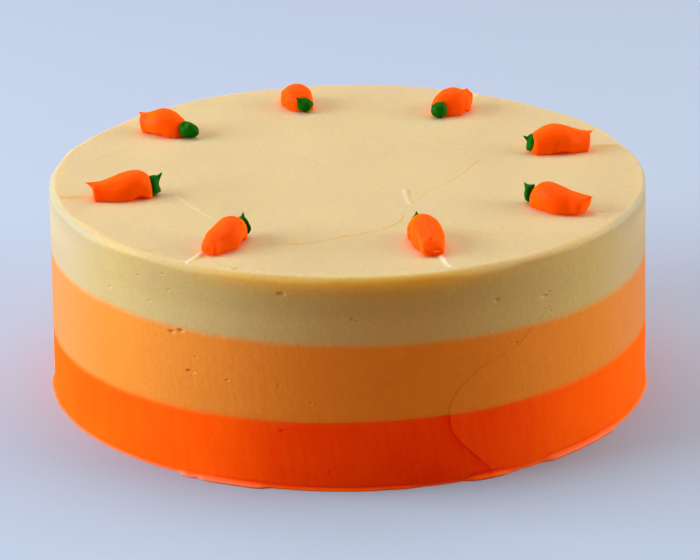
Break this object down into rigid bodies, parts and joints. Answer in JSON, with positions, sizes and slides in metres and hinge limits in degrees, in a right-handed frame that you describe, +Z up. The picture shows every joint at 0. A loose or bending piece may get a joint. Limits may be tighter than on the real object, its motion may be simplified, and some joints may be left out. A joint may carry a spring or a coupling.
{
  "type": "carrot cake",
  "caption": "Whole round iced carrot cake, banded from cream down to deep orange, with a ring of small piped carrots on top.",
  "frame": {"origin": "centre of the flat underside", "axes": "+Z up through the centre of the cake, -Y towards the front, +X to the right seen from the front"},
  "size_m": [0.2176, 0.2176, 0.0863],
  "materials": {
    "deep_icing": "smooth deep orange buttercream, satin",
    "pale_icing": "smooth pale orange buttercream, satin",
    "cream_icing": "smooth cream buttercream, satin, with lap marks and small air pits",
    "carrot_icing": "piped orange buttercream, soft gloss",
    "leaf_icing": "piped green buttercream, soft gloss"
  },
  "bodies": {
    "root": {"deep_band": "deep_icing", "pale_band": "pale_icing", "cream_band": "cream_icing", "carrot_root_1": "carrot_icing", "carrot_root_2": "carrot_icing", "carrot_root_3": "carrot_icing", "carrot_root_4": "carrot_icing", "carrot_root_5": "carrot_icing", "carrot_root_6": "carrot_icing", "carrot_root_7": "carrot_icing", "carrot_root_8": "carrot_icing", "carrot_tuft_1": "leaf_icing", "carrot_tuft_2": "leaf_icing", "carrot_tuft_3": "leaf_icing", "carrot_tuft_4": "leaf_icing", "carrot_tuft_5": "leaf_icing", "carrot_tuft_6": "leaf_icing", "carrot_tuft_7": "leaf_icing", "carrot_tuft_8": "leaf_icing"}
  },
  "joints": []
}
